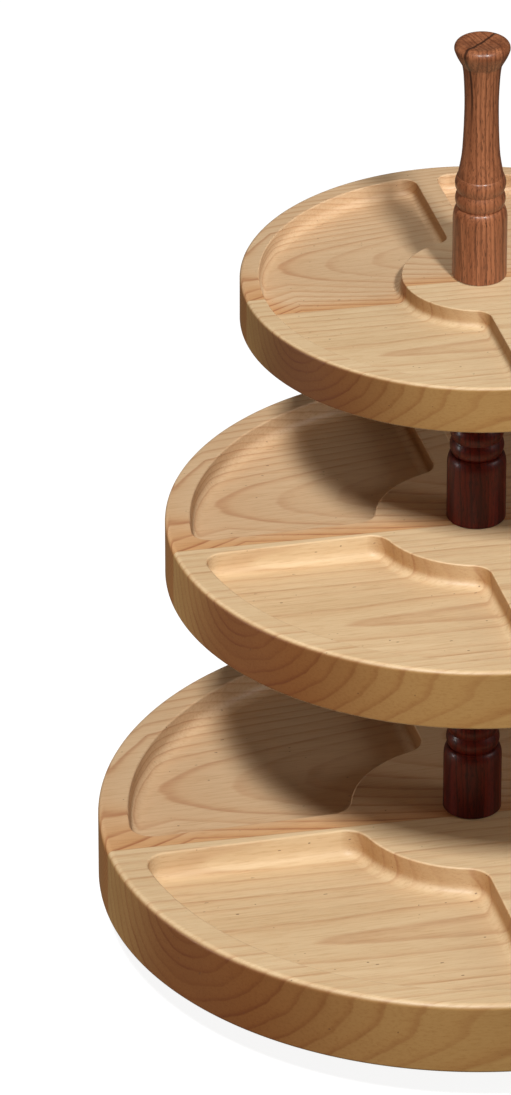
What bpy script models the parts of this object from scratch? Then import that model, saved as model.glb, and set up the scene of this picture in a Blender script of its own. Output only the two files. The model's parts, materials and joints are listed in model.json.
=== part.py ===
"""Three-tier revolving compartment stand: pine trays on turned posts, on a ball-bearing base.

Metres, +Z up. The origin is on the post axis, at the floor under the rubber feet. The dividers of the
trays run along X and Y. The tower (trays, posts, handle) turns about Z on a flat ring bearing.
"""

import math

import bmesh
import bpy
from mathutils import Matrix, Vector

GAP = 0.0003                    # between touching faces
SINK = 0.001                    # how far a cutter runs past a face

# Trays: radius, thickness, and height of the top face above the lowest tray's top face
LOWER_RADIUS = 0.2032
MIDDLE_RADIUS = 0.1660
UPPER_RADIUS = 0.1260
LOWER_THICK = 0.042
MIDDLE_THICK = 0.0345
UPPER_THICK = 0.0262
MIDDLE_RISE = 0.1805
UPPER_RISE = 0.326

# Compartments, as fractions of the tray's radius
POCKET_REACH = 0.919            # outer wall
HUB_REACH = 0.325               # raised hub in the middle
DIVIDER = 0.092                 # width
POCKET_DEPTH = 0.078
CORNER = 0.060                  # corners at the rim
NOOK = 0.065                    # corners at the hub
COVE = 0.034                    # radius along the floor
EDGE_ROUND = 0.016              # top arris of the tray
FOOT_ROUND = 0.008              # bottom arris of the tray

# Posts and handle
ROD_RADIUS = 0.0040
ROD_BORE = 0.0046
HANDLE_HEIGHT = 0.1360
HANDLE_BASE_RADIUS = 0.0144
POST_BASE_RADIUS = 0.01585
POST_TOP_RADIUS = 0.0145
HANDLE_BORE_DEPTH = 0.045
ROD_END_GAP = 0.002             # above the rod, in the handle's bore
END_EASE = 0.0006               # small arris on a turned end
KNOB_ROUND = 0.0036
INSERT_RADIUS = 0.0070
INSERT_LENGTH = 0.016

# Base
FOOT_RADIUS = 0.009
FOOT_HEIGHT = 0.004
FOOT_TAPER = 0.001
FOOT_CIRCLE = 0.118
BASE_RADIUS = 0.135
BASE_BORE = 0.022
BASE_THICK = 0.012
BASE_EDGE = 0.002               # bevel on both arrises

# Ring bearing
BALL_RADIUS = 0.0025
BALL_CIRCLE = 0.0728
BALLS = 12
GROOVE_RADIUS = BALL_RADIUS + GAP
RING_HEIGHT = 0.008
RING_LIFT = 0.0008              # the upper ring stands this much higher than the lower one
RACE_GAP = 0.0012
LOWER_RING_BORE = 0.058
UPPER_RING_RADIUS = 0.0865
CAGE_THICK = 0.0006
CAGE_HEIGHT = 0.0066
WINDOW_PLAY = 0.0002            # round each ball, in the cage
RING_SIDES = 40

# Screws, nut and washer
SCREWS = 4
SHANK_RADIUS = 0.0016
HEAD_RADIUS = 0.0030
HEAD_HEIGHT = 0.0016
HEAD_SINK = 0.0022
SCREW_TIP = 0.0018
LOWER_SCREW_CIRCLE = 0.0645
UPPER_SCREW_CIRCLE = 0.0802
BASE_SCREW_DEPTH = 0.008
TRAY_SCREW_DEPTH = 0.010
ACCESS_RADIUS = 0.005
NUT_FLATS = 0.013
NUT_HEIGHT = 0.0065
WASHER_RADIUS = 0.0095
WASHER_THICK = 0.0016
NUT_POCKET_RADIUS = 0.011
NUT_POCKET_DEPTH = 0.009

# Heights of the stack
BASE_Z = FOOT_HEIGHT + GAP
BASE_TOP = BASE_Z + BASE_THICK
LOWER_RING_Z = BASE_TOP + GAP
UPPER_RING_Z = LOWER_RING_Z + RING_LIFT
BALL_Z = LOWER_RING_Z + (RING_HEIGHT + RING_LIFT) / 2
LOWER_TRAY_Z = UPPER_RING_Z + RING_HEIGHT + GAP
LOWER_TOP = LOWER_TRAY_Z + LOWER_THICK
MIDDLE_TOP = LOWER_TOP + MIDDLE_RISE
UPPER_TOP = LOWER_TOP + UPPER_RISE
HANDLE_Z = UPPER_TOP + GAP
NUT_Z = LOWER_TRAY_Z + GAP
WASHER_Z = LOWER_TRAY_Z + NUT_POCKET_DEPTH - GAP - WASHER_THICK
ROD_TOP = HANDLE_Z + HANDLE_BORE_DEPTH - ROD_END_GAP

QUARTER = math.pi / 2


def material(name, color, roughness, metallic=0.0):
    mat = bpy.data.materials.new(name)
    mat.use_nodes = True
    shader = mat.node_tree.nodes["Principled BSDF"]
    shader.inputs["Base Color"].default_value = (*color, 1.0)
    shader.inputs["Roughness"].default_value = roughness
    shader.inputs["Metallic"].default_value = metallic
    return mat


def new_object(name, bm, mat, smooth_angle=35):
    """Recalculates the normals, shades it smooth up to smooth_angle, and links it to the scene."""
    bmesh.ops.recalc_face_normals(bm, faces=bm.faces[:])
    mesh = bpy.data.meshes.new(name)
    bm.to_mesh(mesh)
    bm.free()
    mesh.shade_smooth()
    mesh.set_sharp_from_angle(angle=math.radians(smooth_angle))
    if mat:
        mesh.materials.append(mat)
    obj = bpy.data.objects.new(name, mesh)
    bpy.context.scene.collection.objects.link(obj)
    return obj


def arc(center, radius, start, end, steps):
    """Points from start to end, in radians, both ends included."""
    angles = [start + (end - start) * i / steps for i in range(steps + 1)]
    return [(center[0] + radius * math.cos(a), center[1] + radius * math.sin(a)) for a in angles]


def between(p0, p1, p2, p3, t):
    """The Catmull-Rom point a share t of the way from p1 to p2."""
    return tuple(b + 0.5 * t * (c - a + t * (2 * a - 5 * b + 4 * c - d + t * (3 * (b - c) + d - a)))
                 for a, b, c, d in zip(p0, p1, p2, p3))


def spline(points, steps):
    """A smooth curve through the points, without the first and last ones."""
    spans = zip(points, points[1:], points[2:], points[3:])
    curve = [between(*span, i / steps) for span in spans for i in range(steps)]
    return curve + [points[-2]]


def turned_mesh(profile, segments, closed):
    """Spins a profile of (radius, height) about Z. A closed profile is a ring, an open one meets the axis."""
    bm = bmesh.new()
    verts = [bm.verts.new((r, 0, z)) for r, z in profile]
    edges = [bm.edges.new(pair) for pair in zip(verts, verts[1:])]
    if closed:
        edges.append(bm.edges.new((verts[-1], verts[0])))
    bmesh.ops.spin(bm, geom=verts + edges, cent=(0, 0, 0), axis=(0, 0, 1), angle=2 * math.pi,
                   steps=segments, use_merge=True)
    bmesh.ops.remove_doubles(bm, verts=bm.verts[:], dist=1e-6)
    return bm


def turned(name, profile, mat, segments=36, closed=True, at=(0, 0, 0)):
    obj = new_object(name, turned_mesh(profile, segments, closed), mat)
    obj.location = at
    return obj


def box_profile(inner, outer, low, high):
    return [(inner, low), (outer, low), (outer, high), (inner, high)]


def rod_profile(radius, low, high):
    return [(0, low), (radius, low), (radius, high), (0, high)]


def drills(radius, low, high, places, sides=8):
    """One straight drill, from low to high, at each place."""
    profile = rod_profile(radius, low, high)
    return [(turned_mesh(profile, sides, False), Matrix.Translation(at)) for at, _ in places]


def cutter(name, parts, owner):
    """Joins meshes into one hidden cutter and takes it away from the owner."""
    bm = bmesh.new()
    for part, place in parts:
        mesh = bpy.data.meshes.new(name)
        bmesh.ops.recalc_face_normals(part, faces=part.faces[:])
        part.transform(place)
        part.to_mesh(mesh)
        part.free()
        bm.from_mesh(mesh)
        bpy.data.meshes.remove(mesh)
    tool = new_object(name, bm, None)
    tool.hide_render = True
    tool.display_type = "WIRE"
    cut = owner.modifiers.new(name, "BOOLEAN")
    cut.object = tool
    cut.operation = "DIFFERENCE"
    cut.solver = "EXACT"
    return tool


def around(radius, count, offset=0.0):
    """Places evenly spaced on a circle, from an angle of offset turns of one space."""
    for i in range(count):
        angle = 2 * math.pi * (i + offset) / count
        yield Vector((radius * math.cos(angle), radius * math.sin(angle), 0)), angle


# Trays

def pocket_outline(radius, sweep, inset):
    """One compartment from a divider along +X to one at angle sweep, with its walls moved in by inset."""
    half = radius * DIVIDER / 2
    reach, hub = radius * POCKET_REACH, radius * HUB_REACH
    corner, nook = radius * CORNER, radius * NOOK
    corner_at = (math.sqrt((reach - corner)**2 - (half + corner)**2), half + corner)
    nook_at = (math.sqrt((hub + nook)**2 - (half + nook)**2), half + nook)
    corner_turn = math.atan2(corner_at[1], corner_at[0])
    nook_turn = math.atan2(nook_at[1], nook_at[0])
    rim_steps = round(8 * sweep / QUARTER)
    hub_steps = round(5 * sweep / QUARTER)

    first_corner = arc(corner_at, corner - inset, -QUARTER, corner_turn, 3)
    rim = arc((0, 0), reach - inset, corner_turn, sweep - corner_turn, rim_steps)
    hub_arc = arc((0, 0), hub + inset, sweep - nook_turn, nook_turn, hub_steps)
    first_nook = arc(nook_at, nook - inset, math.pi + nook_turn, 3 * QUARTER, 3)

    def mirrored(points):
        turn = complex(math.cos(sweep), math.sin(sweep))
        flipped = [turn * complex(x, -y) for x, y in reversed(points)]
        return [(p.real, p.imag) for p in flipped]

    return (first_corner + rim[1:-1] + mirrored(first_corner)
            + mirrored(first_nook) + hub_arc[1:-1] + first_nook)


def pocket_mesh(radius, top, sweep):
    """The space of one compartment: upright walls and a cove down to a flat floor."""
    floor, cove = top - radius * POCKET_DEPTH, radius * COVE
    levels = [(0.0, top + SINK)]
    for i in range(3):
        turn = QUARTER * i / 2
        levels.append((cove * (1 - math.cos(turn)), floor + cove * (1 - math.sin(turn))))
    bm = bmesh.new()
    rings = []
    for inset, z in levels:
        rings.append([bm.verts.new((x, y, z)) for x, y in pocket_outline(radius, sweep, inset)])
    for upper, lower in zip(rings, rings[1:]):
        for i in range(len(upper)):
            bm.faces.new((upper[i - 1], upper[i], lower[i], lower[i - 1]))
    bm.faces.new(rings[0])
    bm.faces.new(rings[-1])
    return bm


def tray(name, radius, thick, top, dividers, mat):
    """A round board with a rounded rim, a central bore, and a compartment between each two dividers."""
    low, rim, foot = top - thick, radius * EDGE_ROUND, radius * FOOT_ROUND
    profile = [(ROD_BORE, low)]
    profile += arc((radius - foot, low + foot), foot, -QUARTER, 0, 1)
    profile += arc((radius - rim, top - rim), rim, 0, QUARTER, 2)
    profile += [(ROD_BORE, top)]
    board = turned(name, profile, mat, segments=64)
    sweep = 2 * math.pi / len(dividers)
    pockets = [(pocket_mesh(radius, top, sweep), Matrix.Rotation(turn, 4, "Z")) for turn in dividers]
    cutter(name + "_pockets", pockets, board)
    return board


def lower_tray_fixings(board):
    """Pilot holes for the bearing's screws and the pocket for the nut, in the underside."""
    low = LOWER_TRAY_Z - SINK
    holes = drills(SHANK_RADIUS + GAP, low, LOWER_TRAY_Z + TRAY_SCREW_DEPTH + GAP,
                   around(UPPER_SCREW_CIRCLE, SCREWS, 0.5))
    well = rod_profile(NUT_POCKET_RADIUS, low, LOWER_TRAY_Z + NUT_POCKET_DEPTH)
    holes.append((turned_mesh(well, 20, False), Matrix()))
    cutter("lower_tray_fixings", holes, board)


# Posts and handle

def bead(low, high, root_low, root_high, bulge, steps=4):
    """A half-round swelling between two grooves, from (root_low, low) up to (root_high, high)."""
    points = []
    for i in range(steps + 1):
        t = i / steps
        root = root_low + (root_high - root_low) * t
        points.append((root + bulge * math.sin(math.pi * t), low + (high - low) * t))
    return points


def plinth(radius, neck, shoulder_low, shoulder_high):
    """The straight foot of a spindle and the shoulder above it."""
    points = [(radius - END_EASE, 0), (radius, END_EASE), (radius, shoulder_low)]
    for i in range(1, 4):
        turn = QUARTER * i / 3
        points.append((neck + (radius - neck) * math.cos(turn),
                       shoulder_low + (shoulder_high - shoulder_low) * math.sin(turn)))
    return points


def handle_profile():
    """The outside, from the foot to the middle of the dished top."""
    outside = plinth(HANDLE_BASE_RADIUS, 0.0120, 0.0335, 0.0405)
    outside += bead(0.0405, 0.0496, 0.0120, 0.0122, 0.0012)[1:]
    outside += bead(0.0496, 0.0583, 0.0122, 0.0125, 0.0011)[1:]
    outside += spline([(0.0138, 0.0440), (0.0120, 0.0587), (0.0099, 0.0732), (0.0090, 0.0978),
                       (0.0095, 0.1148), (0.0105, 0.1230), (0.0120, 0.1275)], 2)
    outside += [(0.0109, 0.1236), (0.0121, 0.1258), (0.0137, 0.1290)]
    outside += arc((0.0111, HANDLE_HEIGHT - KNOB_ROUND), KNOB_ROUND, 0, QUARTER, 3)
    outside += [(0.0082, HANDLE_HEIGHT - 0.0006), (0, HANDLE_HEIGHT - 0.0010)]
    return outside


def post_profile(height):
    """The outside of a spindle between two trays, from its foot up to its collar."""
    outside = plinth(POST_BASE_RADIUS, 0.0133, 0.0325, 0.0392)
    outside += bead(0.0392, 0.0482, 0.0133, 0.0134, 0.0012)[1:]
    outside += bead(0.0482, 0.0565, 0.0134, 0.0136, 0.0010)[1:]
    waist = (0.0569 + height) / 2
    outside += spline([(0.0150, 0.045), (0.0131, 0.0569), (0.0112, 0.0695), (0.0102, waist),
                       (0.0108, height - 0.024), (0.0121, height - 0.015), (0.0140, height - 0.010)], 2)
    outside += bead(height - 0.0145, height - 0.0045, 0.0126, 0.0132, 0.0014)
    outside += [(POST_TOP_RADIUS, height - 0.0038), (POST_TOP_RADIUS, height - END_EASE),
                (POST_TOP_RADIUS - END_EASE, height)]
    return outside


def handle(mat):
    """The handle is bored from below for the rod, and wider at its foot for the threaded insert."""
    seat, seat_top = INSERT_RADIUS + GAP, INSERT_LENGTH + 2 * GAP
    bore = [(0, HANDLE_BORE_DEPTH), (ROD_BORE, HANDLE_BORE_DEPTH), (ROD_BORE, seat_top),
            (seat, seat_top), (seat, 0)]
    turned("handle", bore + handle_profile(), mat, segments=24, closed=False, at=(0, 0, HANDLE_Z))


def post(name, low, high, mat):
    height = high - low - 2 * GAP
    profile = post_profile(height) + [(ROD_BORE, height), (ROD_BORE, 0)]
    turned(name, profile, mat, segments=20, at=(0, 0, low + GAP))


def tie_rod_and_fixings(steel, brass):
    turned("tie_rod", rod_profile(ROD_RADIUS, NUT_Z, ROD_TOP), steel, segments=14, closed=False)
    turned("tie_rod_washer", box_profile(ROD_BORE, WASHER_RADIUS, 0, WASHER_THICK), steel,
           segments=20, at=(0, 0, WASHER_Z))
    turned("handle_insert", box_profile(ROD_RADIUS + GAP, INSERT_RADIUS, 0, INSERT_LENGTH), brass,
           segments=18, at=(0, 0, HANDLE_Z + GAP))
    across_corners = NUT_FLATS / math.cos(math.pi / 6)
    nut = turned("tie_rod_nut", rod_profile(across_corners / 2, 0, NUT_HEIGHT), steel, segments=6,
                 closed=False, at=(0, 0, NUT_Z))
    bore = rod_profile(ROD_RADIUS + GAP, NUT_Z - SINK, NUT_Z + NUT_HEIGHT + SINK)
    cutter("tie_rod_nut_bore", [(turned_mesh(bore, 16, False), Matrix())], nut)


# Ring bearing

def groove(middle):
    """The ball track's section, on the side of the ball that the angle middle points to."""
    reach = math.acos(RACE_GAP / 2 / GROOVE_RADIUS)
    return arc((BALL_CIRCLE, BALL_Z), GROOVE_RADIUS, middle + reach, middle - reach, 4)


def screw(name, mat, at, head_z, up, length):
    """A pan-head screw. head_z is the outer face of its head, and up says whether it points up."""
    profile = [(0, 0), (HEAD_RADIUS - END_EASE, 0), (HEAD_RADIUS, END_EASE), (HEAD_RADIUS, HEAD_HEIGHT),
               (SHANK_RADIUS, HEAD_HEIGHT), (SHANK_RADIUS, length - SCREW_TIP), (0, length)]
    points = [(r, z if up else -z) for r, z in profile]
    return turned(name, points, mat, segments=8, closed=False, at=(at.x, at.y, head_z))


def screw_holes(ring, name, low, high, places):
    """Cuts a seat for each head, from low to high, and a hole for its shank right through the ring."""
    cutter(name + "_seats", drills(HEAD_RADIUS + GAP, low, high, places, 10), ring)
    shanks = drills(SHANK_RADIUS + GAP, LOWER_RING_Z - SINK, LOWER_TRAY_Z + SINK, places, 10)
    cutter(name + "_holes", shanks, ring)


def lower_ring(alloy, steel):
    face, low, high = BALL_CIRCLE - RACE_GAP / 2, LOWER_RING_Z, LOWER_RING_Z + RING_HEIGHT
    places = list(around(LOWER_SCREW_CIRCLE, SCREWS))
    profile = [(LOWER_RING_BORE, low), (face, low)] + groove(math.pi)
    profile += [(face, high), (LOWER_RING_BORE, high)]
    ring = turned("bearing_lower_ring", profile, alloy, segments=RING_SIDES)
    screw_holes(ring, "lower_ring", high - HEAD_SINK, high + SINK, places)
    head = high - HEAD_SINK + GAP + HEAD_HEIGHT
    for number, (at, _) in enumerate(places, 1):
        screw(f"lower_ring_screw_{number}", steel, at, head, False, head - (BASE_TOP - BASE_SCREW_DEPTH))


def upper_ring(alloy, steel):
    face, low, high = BALL_CIRCLE + RACE_GAP / 2, UPPER_RING_Z, UPPER_RING_Z + RING_HEIGHT
    places = list(around(UPPER_SCREW_CIRCLE, SCREWS, 0.5))
    profile = [(UPPER_RING_RADIUS, low), (UPPER_RING_RADIUS, high), (face, high)]
    profile += groove(0) + [(face, low)]
    ring = turned("bearing_upper_ring", profile, alloy, segments=RING_SIDES)
    screw_holes(ring, "upper_ring", low - SINK, low + HEAD_SINK, places)
    head = low + HEAD_SINK - GAP - HEAD_HEIGHT
    for number, (at, _) in enumerate(places, 1):
        screw(f"upper_ring_screw_{number}", steel, at, head, True, LOWER_TRAY_Z + TRAY_SCREW_DEPTH - head)


def balls_and_cage(steel, nylon):
    inner, outer = BALL_CIRCLE - CAGE_THICK / 2, BALL_CIRCLE + CAGE_THICK / 2
    low, high = BALL_Z - CAGE_HEIGHT / 2, BALL_Z + CAGE_HEIGHT / 2
    cage = turned("ball_cage", box_profile(inner, outer, low, high), nylon, segments=RING_SIDES)
    windows = []
    for number, (at, angle) in enumerate(around(BALL_CIRCLE, BALLS, 0.5), 1):
        middle = at + Vector((0, 0, BALL_Z))
        window = turned_mesh(rod_profile(BALL_RADIUS + WINDOW_PLAY, -SINK, SINK), 8, False)
        turn = Matrix.Rotation(angle, 4, "Z") @ Matrix.Rotation(QUARTER, 4, "Y")
        windows.append((window, Matrix.Translation(middle) @ turn))
        ball = bmesh.new()
        bmesh.ops.create_icosphere(ball, subdivisions=2, radius=BALL_RADIUS)
        new_object(f"ball_{number:02d}", ball, steel, 180).location = middle
    cutter("ball_cage_windows", windows, cage)


# Base and feet

def base_disc(mat):
    profile = [(BASE_BORE, BASE_Z)]
    profile += arc((BASE_RADIUS - BASE_EDGE, BASE_Z + BASE_EDGE), BASE_EDGE, -QUARTER, 0, 1)
    profile += arc((BASE_RADIUS - BASE_EDGE, BASE_TOP - BASE_EDGE), BASE_EDGE, 0, QUARTER, 1)
    profile += [(BASE_BORE, BASE_TOP)]
    disc = turned("base_disc", profile, mat, segments=48)
    low, high = BASE_Z - SINK, BASE_TOP + SINK
    deep = BASE_SCREW_DEPTH + GAP
    holes = drills(SHANK_RADIUS + GAP, BASE_TOP - deep, high, around(LOWER_SCREW_CIRCLE, SCREWS))
    holes += drills(SHANK_RADIUS + GAP, low, BASE_Z + deep, around(FOOT_CIRCLE, SCREWS, 0.5))
    first_upper_screw = list(around(UPPER_SCREW_CIRCLE, SCREWS, 0.5))[:1]
    holes += drills(ACCESS_RADIUS, low, high, first_upper_screw, 16)
    cutter("base_disc_holes", holes, disc)


def feet(rubber, steel):
    seat = HEAD_SINK + GAP
    profile = [(HEAD_RADIUS + GAP, 0), (FOOT_RADIUS - END_EASE, 0), (FOOT_RADIUS, END_EASE),
               (FOOT_RADIUS - FOOT_TAPER, FOOT_HEIGHT), (SHANK_RADIUS + GAP, FOOT_HEIGHT),
               (SHANK_RADIUS + GAP, seat), (HEAD_RADIUS + GAP, seat)]
    head = HEAD_SINK - HEAD_HEIGHT
    for number, (at, _) in enumerate(around(FOOT_CIRCLE, SCREWS, 0.5), 1):
        turned(f"foot_{number}", profile, rubber, segments=14, at=at)
        screw(f"foot_screw_{number}", steel, at, head, True, BASE_Z + BASE_SCREW_DEPTH - head)


def build():
    for obj in list(bpy.data.objects):
        bpy.data.objects.remove(obj, do_unlink=True)

    pine = material("pine", (0.62, 0.42, 0.22), 0.45)
    walnut = material("walnut", (0.21, 0.085, 0.035), 0.35)
    mahogany = material("mahogany", (0.045, 0.008, 0.005), 0.30)
    alloy = material("alloy", (0.70, 0.70, 0.72), 0.35, 1.0)
    steel = material("steel", (0.55, 0.55, 0.56), 0.30, 1.0)
    brass = material("brass", (0.70, 0.50, 0.20), 0.30, 1.0)
    nylon = material("nylon", (0.80, 0.78, 0.70), 0.50)
    rubber = material("rubber", (0.02, 0.02, 0.02), 0.80)

    four = [QUARTER * i for i in range(4)]
    two = [QUARTER, 3 * QUARTER]
    lower = tray("lower_tray", LOWER_RADIUS, LOWER_THICK, LOWER_TOP, four, pine)
    lower_tray_fixings(lower)
    tray("middle_tray", MIDDLE_RADIUS, MIDDLE_THICK, MIDDLE_TOP, four, pine)
    tray("upper_tray", UPPER_RADIUS, UPPER_THICK, UPPER_TOP, two, pine)
    post("lower_post", LOWER_TOP, MIDDLE_TOP - MIDDLE_THICK, mahogany)
    post("upper_post", MIDDLE_TOP, UPPER_TOP - UPPER_THICK, mahogany)
    handle(walnut)
    tie_rod_and_fixings(steel, brass)
    lower_ring(alloy, steel)
    upper_ring(alloy, steel)
    balls_and_cage(steel, nylon)
    base_disc(pine)
    feet(rubber, steel)


build()
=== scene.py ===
import json
import math

import bmesh
import bpy
from mathutils import Matrix, Vector

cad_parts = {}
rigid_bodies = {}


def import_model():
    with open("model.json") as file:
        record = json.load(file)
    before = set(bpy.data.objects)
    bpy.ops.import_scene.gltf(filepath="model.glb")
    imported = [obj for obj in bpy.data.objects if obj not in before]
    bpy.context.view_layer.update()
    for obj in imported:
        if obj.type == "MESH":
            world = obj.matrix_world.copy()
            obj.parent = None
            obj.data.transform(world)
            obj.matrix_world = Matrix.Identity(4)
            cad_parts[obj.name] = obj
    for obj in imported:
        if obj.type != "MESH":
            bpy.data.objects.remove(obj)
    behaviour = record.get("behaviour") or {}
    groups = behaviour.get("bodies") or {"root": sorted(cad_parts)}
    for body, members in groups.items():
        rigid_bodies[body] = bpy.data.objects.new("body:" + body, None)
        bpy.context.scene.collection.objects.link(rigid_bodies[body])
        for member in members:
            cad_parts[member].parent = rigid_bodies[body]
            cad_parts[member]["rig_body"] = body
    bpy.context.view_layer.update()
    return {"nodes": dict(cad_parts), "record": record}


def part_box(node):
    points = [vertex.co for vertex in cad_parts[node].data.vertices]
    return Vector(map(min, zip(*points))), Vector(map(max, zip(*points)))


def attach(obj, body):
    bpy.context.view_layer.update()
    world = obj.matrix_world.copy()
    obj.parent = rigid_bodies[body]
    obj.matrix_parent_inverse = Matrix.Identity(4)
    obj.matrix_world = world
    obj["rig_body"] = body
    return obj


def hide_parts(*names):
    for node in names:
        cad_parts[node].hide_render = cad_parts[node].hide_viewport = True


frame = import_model()

QUARTER = math.pi / 2

TRAYS = ("lower_tray", "middle_tray", "upper_tray")

# Compartments and edges, as fractions of the tray's radius. All but the arris are as in the CAD.
POCKET_REACH = 0.919
HUB_REACH = 0.325
DIVIDER = 0.092
POCKET_DEPTH = 0.078
CORNER = 0.060
NOOK = 0.065
COVE = 0.034
EDGE_ROUND = 0.016
FOOT_ROUND = 0.008
ARRIS = 0.006

# Metres, as in the CAD
BORE = 0.0046
WELL_RADIUS = 0.011             # the nut's pocket, under the lowest tray
WELL_DEPTH = 0.009
HANDLE_BORE_DEPTH = 0.045
INSERT_SEAT_RADIUS = 0.0073     # the brass insert's hole, in the foot of the handle
INSERT_SEAT_DEPTH = 0.0166
KNOB_ROUND = 0.0036
POST_TOP_RADIUS = 0.0145
END_EASE = 0.0006               # small arris on a turned end
FOOT_SEAT_RADIUS = 0.0033       # the screw's recess in a rubber foot
FOOT_SEAT_DEPTH = 0.0025
FOOT_BORE = 0.0019

# Sides of the round pieces
TRAY_SIDES = 256
SPINDLE_SIDES = 128
FOOT_SIDES = 72

BASE_GRAIN_RADIUS = 0.2032      # the base disc has grain of the same scale as the lowest tray's


# ---------------------------------------------------------------- geometry

def arc(center, radius, start, end, steps):
    angles = [start + (end - start) * i / steps for i in range(steps + 1)]
    return [(center[0] + radius * math.cos(a), center[1] + radius * math.sin(a)) for a in angles]


def spline(points, steps):
    """A Catmull-Rom curve through the points, without the first and last ones."""
    curve = []
    for p0, p1, p2, p3 in zip(points, points[1:], points[2:], points[3:]):
        for i in range(steps):
            t = i / steps
            curve.append(tuple(
                0.5 * (2 * b + (c - a) * t + (2 * a - 5 * b + 4 * c - d) * t**2
                       + (3 * b - a - 3 * c + d) * t**3)
                for a, b, c, d in zip(p0, p1, p2, p3)))
    return curve + [points[-2]]


def lathe(profile, segments, closed):
    """Spins a profile of (radius, height) about Z. A closed profile makes a ring."""
    bm = bmesh.new()
    verts = [bm.verts.new((r, 0, z)) for r, z in profile]
    edges = [bm.edges.new(pair) for pair in zip(verts, verts[1:])]
    if closed:
        edges.append(bm.edges.new((verts[-1], verts[0])))
    bmesh.ops.spin(bm, geom=verts + edges, cent=(0, 0, 0), axis=(0, 0, 1), angle=2 * math.pi,
                   steps=segments, use_merge=True)
    bmesh.ops.remove_doubles(bm, verts=bm.verts[:], dist=1e-6)
    return bm


def piece(name, bm, material, at, node, sharp=40):
    """Makes the refined piece that stands for one CAD node, and rides it on the node's body."""
    bmesh.ops.recalc_face_normals(bm, faces=bm.faces[:])
    mesh = bpy.data.meshes.new(name)
    bm.to_mesh(mesh)
    bm.free()
    mesh.shade_smooth()
    mesh.set_sharp_from_angle(angle=math.radians(sharp))
    mesh.materials.append(material)
    obj = bpy.data.objects.new(name, mesh)
    obj.location = at
    bpy.context.scene.collection.objects.link(obj)
    weighted = obj.modifiers.new("weighted", "WEIGHTED_NORMAL")
    weighted.keep_sharp = True
    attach(obj, frame["nodes"][node]["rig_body"])
    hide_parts(node)
    return obj


def pocket_outline(radius, sweep, inset):
    """A compartment between dividers at angles 0 and sweep, with its walls moved in by inset."""
    half = radius * DIVIDER / 2
    reach, hub = radius * POCKET_REACH, radius * HUB_REACH
    corner, nook = radius * CORNER, radius * NOOK
    corner_at = (math.sqrt((reach - corner)**2 - (half + corner)**2), half + corner)
    nook_at = (math.sqrt((hub + nook)**2 - (half + nook)**2), half + nook)
    corner_turn = math.atan2(corner_at[1], corner_at[0])
    nook_turn = math.atan2(nook_at[1], nook_at[0])
    rim_steps = round(56 * sweep / QUARTER)
    hub_steps = round(24 * sweep / QUARTER)
    first_corner = arc(corner_at, corner - inset, -QUARTER, corner_turn, 10)
    rim = arc((0, 0), reach - inset, corner_turn, sweep - corner_turn, rim_steps)
    hub_arc = arc((0, 0), hub + inset, sweep - nook_turn, nook_turn, hub_steps)
    first_nook = arc(nook_at, nook - inset, math.pi + nook_turn, 3 * QUARTER, 10)

    def mirrored(points):
        turn = complex(math.cos(sweep), math.sin(sweep))
        flipped = [turn * complex(x, -y) for x, y in reversed(points)]
        return [(p.real, p.imag) for p in flipped]

    return (first_corner + rim[1:-1] + mirrored(first_corner)
            + mirrored(first_nook) + hub_arc[1:-1] + first_nook)


def tray_mesh(radius, thick, turns, well):
    """A round board with its top face at z 0, and a compartment from each turn to the next."""
    rim, foot = radius * EDGE_ROUND, radius * FOOT_ROUND
    ease, cove, depth = radius * ARRIS, radius * COVE, radius * POCKET_DEPTH
    sweep = 2 * math.pi / len(turns)
    profile = [(BORE, -thick)]
    if well:
        profile = [(BORE, WELL_DEPTH - thick), (WELL_RADIUS, WELL_DEPTH - thick),
                   (WELL_RADIUS, -thick)]
    profile += arc((radius - foot, foot - thick), foot, -QUARTER, 0, 5)
    profile += arc((radius - rim, -rim), rim, 0, QUARTER, 8)
    outer = lathe(profile, TRAY_SIDES, False)
    bm = bmesh.new()
    mesh = bpy.data.meshes.new("board")
    outer.to_mesh(mesh)
    outer.free()
    bm.from_mesh(mesh)
    bpy.data.meshes.remove(mesh)
    bm.edges.ensure_lookup_table()
    edges = [e for e in bm.edges if e.is_boundary and all(v.co.z > -1e-6 for v in e.verts)]

    bore_top = [bm.verts.new((BORE * math.cos(t), BORE * math.sin(t), 0))
                for t in (2 * math.pi * i / TRAY_SIDES for i in range(TRAY_SIDES))]
    edges += [bm.edges.new((bore_top[i - 1], bore_top[i])) for i in range(TRAY_SIDES)]
    bore_foot = sorted((v for e in bm.edges if e.is_boundary for v in e.verts
                        if v.co.z < -thick / 2 and v.co.xy.length < 2 * BORE),
                       key=lambda v: math.atan2(v.co.y, v.co.x) % (2 * math.pi))
    bore_foot = list(dict.fromkeys(bore_foot))
    for i in range(TRAY_SIDES):
        bm.faces.new((bore_top[i - 1], bore_top[i], bore_foot[i], bore_foot[i - 1]))

    levels = [(ease * (math.sin(t) - 1), ease * (math.cos(t) - 1)) for t in
              (QUARTER * i / 4 for i in range(5))]
    levels += [(0.0, (cove - depth - ease) / 2)]
    levels += [(cove * (1 - math.cos(t)), cove * (1 - math.sin(t)) - depth) for t in
               (QUARTER * i / 8 for i in range(9))]
    for start in turns:
        turn = Matrix.Rotation(start, 3, "Z")
        loops = [[bm.verts.new(turn @ Vector((x, y, z)))
                  for x, y in pocket_outline(radius, sweep, inset)]
                 for inset, z in levels]
        for upper, lower in zip(loops, loops[1:]):
            for i in range(len(upper)):
                bm.faces.new((upper[i - 1], upper[i], lower[i], lower[i - 1]))
        bm.faces.new(loops[-1])
        edges += [bm.edges.get((loops[0][i - 1], loops[0][i])) for i in range(len(loops[0]))]
    bmesh.ops.triangle_fill(bm, edges=edges, use_beauty=True, use_dissolve=False,
                            normal=(0, 0, 1))
    return bm


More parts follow.
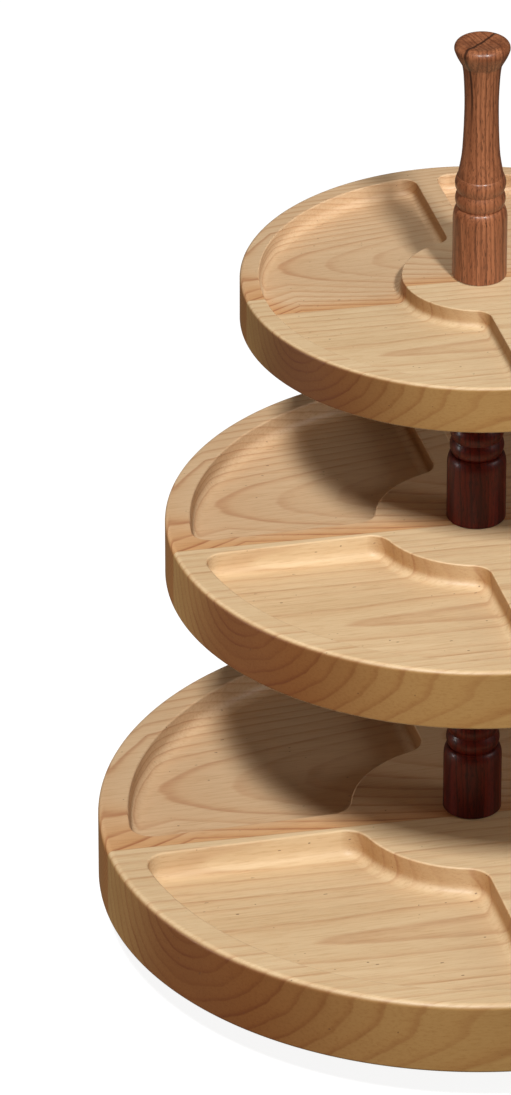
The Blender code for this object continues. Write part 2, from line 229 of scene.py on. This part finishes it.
def bead(low, high, root_low, root_high, bulge, steps=14):
    """A half-round swelling between two grooves."""
    points = []
    for i in range(steps + 1):
        t = i / steps
        root = root_low + (root_high - root_low) * t
        points.append((root + bulge * math.sin(math.pi * t), low + (high - low) * t))
    return points


def plinth(radius, neck, shoulder_low, shoulder_high):
    """The straight foot of a spindle and the shoulder above it."""
    points = arc((radius - 0.0007, 0.0007), 0.0007, -QUARTER, 0, 4)
    points += [(radius, shoulder_low * i / 6) for i in range(1, 7)]
    for i in range(1, 11):
        turn = QUARTER * i / 10
        points.append((neck + (radius - neck) * math.cos(turn),
                       shoulder_low + (shoulder_high - shoulder_low) * math.sin(turn)))
    return points


def handle_profile(height):
    outside = plinth(0.0144, 0.0120, 0.0335, 0.0405)
    outside += bead(0.0405, 0.0496, 0.0120, 0.0122, 0.0012)[1:]
    outside += bead(0.0496, 0.0583, 0.0122, 0.0125, 0.0011)[1:]
    outside += spline([(0.0138, 0.0440), (0.0120, 0.0587), (0.0099, 0.0732), (0.0090, 0.0978),
                       (0.0095, 0.1148), (0.0105, 0.1230), (0.0120, 0.1275)], 10)
    outside += spline([(0.0098, 0.1212), (0.0109, 0.1236), (0.0121, 0.1258), (0.0137, 0.1290),
                       (0.0147, height - KNOB_ROUND), (0.0136, height - 0.0010)], 6)
    outside += arc((0.0111, height - KNOB_ROUND), KNOB_ROUND, 0, QUARTER, 12)[1:]
    outside += [(0.0100, height - 0.0001), (0.0082, height - 0.0006), (0.0050, height - 0.0009),
                (0, height - 0.0010)]
    return outside


def post_profile(height):
    outside = plinth(0.01585, 0.0133, 0.0325, 0.0392)
    outside += bead(0.0392, 0.0482, 0.0133, 0.0134, 0.0012)[1:]
    outside += bead(0.0482, 0.0565, 0.0134, 0.0136, 0.0010)[1:]
    outside += spline([(0.0150, 0.045), (0.0131, 0.0569), (0.0112, 0.0695),
                       (0.0102, (0.0569 + height) / 2), (0.0108, height - 0.024),
                       (0.0121, height - 0.015), (0.0140, height - 0.010)], 10)
    outside += bead(height - 0.0145, height - 0.0045, 0.0126, 0.0132, 0.0014)
    shoulder = POST_TOP_RADIUS - END_EASE
    outside += arc((shoulder, height - 0.0032), END_EASE, -QUARTER, 0, 3)
    outside += arc((shoulder, height - END_EASE), END_EASE, 0, QUARTER, 3)
    return outside


# ---------------------------------------------------------------- materials

def linear(*rgb):
    """A display colour, 0 to 255, as the light that makes it."""
    light = [c / 255 / 12.92 if c < 11 else ((c / 255 + 0.055) / 1.055)**2.4 for c in rgb]
    return (*light, 1.0)


class Shade:
    """A material and the nodes of its graph."""

    def __init__(self, name):
        self.material = bpy.data.materials.new(name)
        self.material.use_nodes = True
        self.tree = self.material.node_tree
        self.shader = self.tree.nodes["Principled BSDF"]

    def put(self, socket, value):
        if isinstance(value, bpy.types.NodeSocket):
            self.tree.links.new(value, socket)
        else:
            socket.default_value = value

    def node(self, kind, inputs, **settings):
        made = self.tree.nodes.new("ShaderNode" + kind)
        for key, value in settings.items():
            setattr(made, key, value)
        for key, value in inputs.items():
            self.put(made.inputs[key], value)
        return made

    def set(self, **inputs):
        for key, value in inputs.items():
            self.put(self.shader.inputs[key.replace("_", " ")], value)

    def math(self, operation, *values):
        return self.node("Math", dict(enumerate(values)), operation=operation).outputs[0]

    def add(self, *values):
        total = values[0]
        for value in values[1:]:
            total = self.math("ADD", total, value)
        return total

    def times(self, *values):
        total = values[0]
        for value in values[1:]:
            total = self.math("MULTIPLY", total, value)
        return total

    def invert(self, value):
        return self.math("SUBTRACT", 1.0, value)

    def length(self, first, second):
        return self.math("SQRT", self.add(self.times(first, first), self.times(second, second)))

    def step(self, value, low, high):
        """Runs smoothly from 0 at low to 1 at high."""
        made = self.node("MapRange", {0: value, 1: low, 2: high}, interpolation_type="SMOOTHSTEP")
        return made.outputs[0]

    def remap(self, value, low, high, new_low, new_high):
        made = self.node("MapRange", {0: value, 1: low, 2: high, 3: new_low, 4: new_high})
        return made.outputs[0]

    def mix(self, share, first, second, blend="MIX"):
        made = self.node("Mix", {0: share, 6: first, 7: second}, data_type="RGBA", blend_type=blend)
        return made.outputs[2]

    def tint(self, share, color, filter_color):
        """The colour as seen through a share of the filter."""
        return self.mix(share, color, self.mix(1.0, color, filter_color, "MULTIPLY"))

    def choose(self, share, first, second):
        return self.node("Mix", {0: share, 2: first, 3: second}, data_type="FLOAT").outputs[0]

    def place(self, kind="Object"):
        return self.node("TexCoord", {}).outputs[kind]

    def stretch(self, place, scale, shift=(0, 0, 0)):
        return self.node("Mapping", {0: place, 1: shift, 3: scale}).outputs[0]

    def noise(self, place, scale, detail=2.0, roughness=0.5):
        return self.node("TexNoise", {"Vector": place, "Scale": scale, "Detail": detail,
                                      "Roughness": roughness}).outputs[0]

    def axes(self, place):
        return self.node("SeparateXYZ", {0: place}).outputs

    def hash(self, value):
        return self.node("TexWhiteNoise", {"W": value}, noise_dimensions="1D").outputs[0]

    def bump(self, height, strength, distance):
        made = self.node("Bump", {"Height": height, "Strength": strength, "Distance": distance})
        self.put(self.shader.inputs["Normal"], made.outputs[0])


def rings(s, phase, start, peak):
    """Dark late-wood lines, one for each whole number of the phase: a slow rise and a sharp end."""
    part = s.math("FRACT", phase)
    year = s.math("FLOOR", phase)
    line = s.times(s.step(part, start, peak), s.invert(s.step(part, peak + 0.02, 1.0)))
    return line, s.hash(year), s.hash(s.add(year, 31.7))


def pine(name, radius):
    """Two boards of oiled pine, glued near the divider along X, with their grain along X."""
    s = Shade(name)
    at = s.node("VectorMath", {0: s.place(), 3: 1 / radius}, operation="SCALE").outputs[0]
    x, y, z = s.axes(at)
    seam = s.add(y, s.times(x, 0.0435), 0.0468)
    rear = s.step(seam, -0.0004, 0.0004)
    slow = s.math("SUBTRACT", s.noise(s.stretch(at, (0.9, 3.0, 3.0)), 1.0, 2.0), 0.5)
    fine = s.math("SUBTRACT", s.noise(s.stretch(at, (2.6, 14.0, 14.0), (3.1, 0, 0)), 1.0, 2.0), 0.5)
    past = s.math("MAXIMUM", s.add(s.times(x, -1.0), -0.76), 0.0)

    def distance(pith_y, pith_z, slope, tilt, sweep):
        """From the pith, which leans by slope and tilt, and bends by sweep near the left end."""
        across = s.add(y, s.times(x, slope), s.times(past, sweep), -pith_y)
        up = s.add(z, s.times(x, tilt), -pith_z)
        return s.length(across, up)

    front_phase = s.add(s.times(distance(-0.47, 0.035, 0.045, 0.010, 0.0), 25.0),
                        s.times(slow, 1.1), s.times(fine, 0.40))
    rear_phase = s.add(s.times(distance(0.34, -0.50, 0.05, -0.10, 0.7), 48.0),
                       s.times(slow, 0.6), s.times(fine, 0.35))
    phase = s.choose(rear, front_phase, s.add(rear_phase, 200.0))
    line, chance, other = rings(s, phase, 0.25, 0.88)
    thin = s.step(s.math("FRACT", phase), 0.66, 0.90)
    thin = s.times(thin, s.invert(s.step(s.math("FRACT", phase), 0.90, 1.0)))
    cloud = s.noise(s.stretch(at, (3.0, 9.0, 9.0), (4.4, 0, 0)), 1.0, 3.0, 0.65)
    patchy = s.step(cloud, 0.30, 0.62)
    thin = s.times(thin, s.remap(patchy, 0, 1, 0.35, 1.0))

    normal = s.axes(s.place("Normal"))
    end = s.math("POWER", s.math("ABSOLUTE", normal[0]), 1.2)
    left = s.math("POWER", s.math("MAXIMUM", s.times(normal[0], -1.0), 0.0), 0.8)
    upright = s.invert(s.step(s.math("ABSOLUTE", normal[2]), 0.2, 0.9))
    rim = s.times(upright, s.step(s.length(x, y), 0.95, 0.97))
    # Darker outer side near the front, where it turns to face along X: partly heartwood and end
    # grain, partly painted shade.
    heartwood_and_shade = s.step(s.math("ABSOLUTE", s.add(y, 0.52)), 0.52, 0.10)
    heartwood_and_shade = s.times(heartwood_and_shade, s.step(end, 0.02, 0.45), rim)

    reach = s.remap(s.step(x, -0.78, -0.95), 0, 1, 0.11, 0.32)
    near_seam = s.times(rear, s.invert(s.step(s.math("DIVIDE", seam, reach), 0.0, 1.0)))
    strength = s.add(s.remap(chance, 0, 1, 0.06, 0.34), s.times(rear, 0.14),
                     s.times(near_seam, 0.50), s.times(rim, 0.10))
    tone = s.add(s.noise(s.stretch(at, (0.9, 4.0, 4.0), (7.7, 1.3, 0)), 1.0, 2.0),
                 s.times(other, 0.25))
    pale = s.mix(s.step(tone, 0.35, 0.95), linear(219, 192, 152), linear(207, 177, 136))
    warm = s.mix(s.times(rear, 0.5), pale, linear(211, 175, 139))
    warm = s.mix(s.times(near_seam, 0.65), warm, linear(205, 149, 94))
    wood = s.mix(s.times(line, strength, 0.60), warm, linear(196, 146, 98))
    wood = s.mix(s.times(thin, strength), wood, linear(160, 98, 62))
    wood = s.tint(rim, wood, linear(206, 184, 144))
    # Painted shade: compartment walls that face -X are darkened, as if the light came from +X.
    left_wall_shade = s.times(left, s.math("SUBTRACT", upright, rim))
    wood = s.tint(s.times(left_wall_shade, 0.95), wood, linear(190, 158, 118))
    # Partly heartwood tone, partly painted shade.
    wood = s.tint(heartwood_and_shade, wood, linear(182, 146, 116))

    fibre = s.noise(s.stretch(at, (9.0, 150.0, 150.0)), 1.0, 4.0, 0.68)
    fleck = s.noise(s.stretch(at, (26.0, 260.0, 260.0), (1.7, 0.3, 0)), 1.0, 2.0)
    wood = s.tint(s.times(s.step(fibre, 0.42, 0.75), 0.38), wood, linear(214, 190, 158))
    wood = s.tint(s.times(s.step(fleck, 0.60, 0.80), 0.35), wood, linear(202, 168, 130))
    speck = s.noise(s.stretch(at, (60.0, 95.0, 95.0), (5.5, 2.0, 0)), 1.0, 0.0)
    wood = s.mix(s.times(s.step(speck, 0.845, 0.88), 0.70), wood, linear(96, 58, 34))
    joint = s.invert(s.step(s.math("ABSOLUTE", seam), 0.0004, 0.0022))
    wood = s.mix(s.times(joint, 0.30), wood, linear(142, 92, 52))

    s.set(Base_Color=wood, Coat_Weight=0.10, Coat_Roughness=0.35, Specular_IOR_Level=0.40)
    s.set(Roughness=s.add(0.46, s.times(fibre, 0.12), s.times(line, -0.04), s.times(end, 0.06)))
    s.bump(s.add(s.times(fibre, 0.5), s.times(line, 0.25), s.times(fleck, -0.3)), 0.15, 0.0005)
    return s.material


def turned_wood(name, dark, mid, light, vein, gloss, seed):
    """A turned spindle: grain along Z, growth rings from one side, pores and a dark vein."""
    s = Shade(name)
    at = s.place()
    x, y, z = s.axes(at)
    bend = s.math("SUBTRACT", s.noise(s.stretch(at, (60, 60, 14), (seed, 0, 0)), 1.0, 2.0), 0.5)
    across = s.add(x, s.times(z, 0.012), 0.030)
    along = s.add(y, s.times(z, -0.016), 0.012)
    phase = s.add(s.times(s.length(across, along), 420.0), s.times(bend, 2.6), seed)
    line, chance, _ = rings(s, phase, 0.30, 0.85)
    streak = s.noise(s.stretch(at, (800, 800, 60), (seed, 2, 0)), 1.0, 5.0, 0.68)
    broad = s.noise(s.stretch(at, (150, 150, 9), (0, seed, 0)), 1.0, 3.0, 0.55)
    pores = s.noise(s.stretch(at, (2100, 2100, 240), (seed, 0, 4)), 1.0, 1.0)
    wood = s.mix(s.step(broad, 0.32, 0.68), mid, light)
    wood = s.mix(s.times(line, s.remap(chance, 0, 1, 0.15, 0.7)), wood, dark)
    wood = s.mix(s.times(s.step(streak, 0.45, 0.72), 0.55), wood, dark)
    wood = s.mix(s.times(s.step(pores, 0.56, 0.68), 0.55), wood, vein)
    sheet = s.add(s.times(x, 0.616), s.times(y, -0.788), s.times(bend, 0.0045), 0.0003)
    thin = s.invert(s.step(s.math("ABSOLUTE", sheet), 0.0003, 0.0012))
    high = s.step(s.add(z, s.times(broad, 0.03)), 0.098, 0.122)
    wood = s.mix(s.times(thin, high, 0.85), wood, vein)
    s.set(Base_Color=wood, Coat_Weight=gloss, Coat_Roughness=0.22,
          Specular_IOR_Level=0.1 + 0.6 * gloss)
    s.set(Roughness=s.add(0.36, s.times(streak, 0.18)))
    s.bump(s.add(s.times(streak, 0.5), s.times(pores, -0.5)), 0.25, 0.0003)
    return s.material


def metal(name, color, roughness, scale):
    """Turned or plated metal with fine lines round the axis and a little wear."""
    s = Shade(name)
    at = s.place()
    x, y, z = s.axes(at)
    section = s.node("CombineXYZ", {0: s.times(s.length(x, y), scale), 1: s.times(z, scale)})
    lines = s.noise(section.outputs[0], 1.0, 3.0)
    cloud = s.noise(at, 90.0, 4.0, 0.6)
    worn = s.mix(0.6, color, linear(150, 146, 140), "MULTIPLY")
    s.set(Base_Color=s.mix(s.step(cloud, 0.35, 0.75), color, worn))
    s.set(Metallic=1.0, Roughness=s.add(roughness, s.times(cloud, 0.16), s.times(lines, 0.06)))
    s.bump(lines, 0.12, 0.0001)
    return s.material


def moulded(name, color, roughness, depth):
    """Moulded plastic or rubber with a fine spark texture."""
    s = Shade(name)
    at = s.place()
    grain = s.noise(at, 2600.0, 3.0, 0.6)
    cloud = s.noise(at, 120.0, 3.0)
    s.set(Base_Color=s.tint(s.times(s.step(cloud, 0.35, 0.8), 0.35), color, linear(200, 196, 190)))
    s.set(Roughness=s.add(roughness, s.times(cloud, 0.12)))
    s.bump(grain, 0.2, depth)
    return s.material


# ---------------------------------------------------------------- pieces

finish = {
    "walnut": turned_wood("walnut", linear(84, 43, 24), linear(136, 80, 50), linear(170, 108, 72),
                          linear(40, 19, 12), 0.35, 3.0),
    "dark_stained_wood": turned_wood("dark_stained_wood", linear(34, 5, 4), linear(62, 10, 5),
                                     linear(98, 24, 11), linear(18, 3, 3), 0.12, 8.0),
    "pine": pine("pine_base", BASE_GRAIN_RADIUS),
    "alloy": metal("alloy", linear(208, 209, 212), 0.22, 9000.0),
    "steel": metal("steel", linear(186, 188, 192), 0.26, 5000.0),
    "brass": metal("brass", linear(214, 180, 112), 0.25, 6000.0),
    "nylon": moulded("nylon", linear(232, 230, 220), 0.42, 0.00004),
    "rubber": moulded("rubber", linear(44, 44, 46), 0.72, 0.00008),
}

slots = {row["node"]: row["material_slot"] for row in frame["record"]["subparts"]}
for name, node in frame["nodes"].items():
    node.data.materials.clear()
    node.data.materials.append(finish[slots[name]])
    weld = node.modifiers.new("weld", "WELD")
    weld.merge_threshold = 0.000002
    node.data.shade_smooth()
    node.data.set_sharp_from_angle(angle=math.radians(35))
    weighted = node.modifiers.new("weighted", "WEIGHTED_NORMAL")
    weighted.keep_sharp = True

for name in TRAYS:
    low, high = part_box(name)
    radius = (high.x - low.x) / 2
    turns = [-QUARTER, QUARTER] if name == "upper_tray" else [QUARTER * i for i in range(4)]
    mesh = tray_mesh(radius, high.z - low.z, turns, name == "lower_tray")
    piece(name + "_board", mesh, pine("pine_" + name, radius), (0, 0, high.z), name, 50)

low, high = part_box("handle")
inside = [(0, HANDLE_BORE_DEPTH), (BORE, HANDLE_BORE_DEPTH), (BORE, INSERT_SEAT_DEPTH),
          (INSERT_SEAT_RADIUS, INSERT_SEAT_DEPTH), (INSERT_SEAT_RADIUS, 0)]
piece("handle_turned", lathe(inside + handle_profile(high.z - low.z), SPINDLE_SIDES, False),
      finish["walnut"], (0, 0, low.z), "handle")
for name in ("lower_post", "upper_post"):
    low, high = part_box(name)
    height = high.z - low.z
    profile = post_profile(height) + [(BORE, height), (BORE, 0)]
    piece(name + "_turned", lathe(profile, SPINDLE_SIDES, True), finish["dark_stained_wood"],
          (0, 0, low.z), name)


def foot_profile(height, radius):
    """A rubber foot: a tapered button with a soft arris, and a recess for the head of its screw."""
    ease, arris, taper = 0.0003, 0.0008, 0.0010
    profile = arc((FOOT_SEAT_RADIUS + ease, ease), ease, math.pi, 1.5 * math.pi, 4)
    profile += arc((radius - arris, arris), arris, -QUARTER, 0, 8)
    profile += [(radius - taper, height), (FOOT_BORE, height), (FOOT_BORE, FOOT_SEAT_DEPTH),
                (FOOT_SEAT_RADIUS, FOOT_SEAT_DEPTH)]
    return profile


for number in range(1, 5):
    name = f"foot_{number}"
    low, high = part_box(name)
    middle = (low + high) / 2
    profile = foot_profile(high.z - low.z, (high.x - low.x) / 2)
    piece(name + "_moulded", lathe(profile, FOOT_SIDES, True), finish["rubber"],
          (middle.x, middle.y, low.z), name)


# ---------------------------------------------------------------- stage, light and camera

FLOOR_REACH = 30.0
LAMP_DISTANCE = 3.0
LAMP_AIM = 0.22                 # height of the point that the lamps face

# The camera: focal length in image heights, the way it looks in degrees, and metres
FOCAL_LENGTH = 9000 / 1095
SENSOR = 36.0
AZIMUTH = -15.2
PITCH = 29.57
YAW = -1.61
CAMERA_DISTANCE = 4.8136
AIM_ABOVE_LOWER_TRAY = 0.1599

scene = bpy.context.scene
scene.view_settings.view_transform = "Standard"

floor_mesh = bpy.data.meshes.new("floor")
corners = [(x * FLOOR_REACH, y * FLOOR_REACH, 0) for x, y in ((-1, -1), (1, -1), (1, 1), (-1, 1))]
floor_mesh.from_pydata(corners, [], [(0, 1, 2, 3)])
floor = bpy.data.objects.new("floor", floor_mesh)
scene.collection.objects.link(floor)
paper = Shade("paper")
paper.set(Base_Color=(0.25, 0.25, 0.25, 1.0), Roughness=0.9, Specular_IOR_Level=0.1,
          Emission_Color=(1, 1, 1, 1), Emission_Strength=0.90)
# Clear from below, so that the underside can be seen
clear = paper.node("BsdfTransparent", {})
below = paper.node("NewGeometry", {}).outputs["Backfacing"]
sheet = paper.node("MixShader", {0: below, 1: paper.shader.outputs[0], 2: clear.outputs[0]})
paper.put(paper.tree.nodes["Material Output"].inputs[0], sheet.outputs[0])
floor_mesh.materials.append(paper.material)
floor.visible_diffuse = False
floor.visible_glossy = False

world = bpy.data.worlds.new("studio")
scene.world = world
world.use_nodes = True
sky = world.node_tree.nodes["Background"]
sky.inputs["Color"].default_value = (1.0, 0.82, 0.66, 1.0)
sky.inputs["Strength"].default_value = 0.09


def lamp(name, azimuth, elevation, size, power, lit, blockers=None):
    """A square soft light for one group of pieces. Given blockers, only they cast its shadows."""
    a, e = math.radians(azimuth), math.radians(elevation)
    back = Vector((math.sin(a) * math.cos(e), -math.cos(a) * math.cos(e), math.sin(e)))
    data = bpy.data.lights.new(name, "AREA")
    data.size = size
    data.energy = power
    obj = bpy.data.objects.new(name, data)
    obj.location = Vector((0, 0, LAMP_AIM)) + back * LAMP_DISTANCE
    obj.rotation_euler = back.to_track_quat("Z", "Y").to_euler()
    scene.collection.objects.link(obj)
    obj.light_linking.receiver_collection = lit
    obj.light_linking.blocker_collection = blockers


def group(name, objects):
    made = bpy.data.collections.new(name)
    for obj in objects:
        made.objects.link(obj)
    return made


HANDLE = {"handle_turned", "handle_insert"}
TOP = HANDLE | {"upper_tray_board"}
shown = [o for o in scene.objects if o.type == "MESH"]
lower_part = group("lower_part", [o for o in shown if o.name not in TOP])
upper_part = group("upper_part", [o for o in shown if o.name in TOP])
without_handle = group("without_handle", [o for o in shown if o.name not in HANDLE])

# The key comes from left of the camera. On the top tray and the handle, most of it comes from
# the right instead, and the rest doesn't cast the handle's shadow.
lamp("key", -28, 48, 0.26, 100, lower_part)
lamp("key_top", 10, 49, 0.30, 62, upper_part)
lamp("key_top_left", -28, 48, 0.30, 38, upper_part, without_handle)
lamp("side_left", -95, -1.0, 0.5, 24, without_handle)
lamp("side_right", 60, 20, 1.2, 22, without_handle)

camera = bpy.data.cameras.new("camera")
camera.sensor_width = SENSOR
camera.lens = FOCAL_LENGTH * SENSOR
camera.clip_end = 100.0
viewer = bpy.data.objects.new("camera", camera)
turn = Matrix.Rotation(math.radians(AZIMUTH), 3, "Z")
pitch, yaw = math.radians(PITCH), math.radians(YAW)
aim = Vector((0, 0, AIM_ABOVE_LOWER_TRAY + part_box("lower_tray")[1].z))
back = Vector((0, -CAMERA_DISTANCE * math.cos(pitch), CAMERA_DISTANCE * math.sin(pitch)))
viewer.location = turn @ back + aim
look = turn @ Vector((math.sin(yaw) * math.cos(pitch), math.cos(yaw) * math.cos(pitch),
                      -math.sin(pitch)))
viewer.rotation_euler = look.to_track_quat("-Z", "Y").to_euler()
scene.collection.objects.link(viewer)
scene.camera = viewer
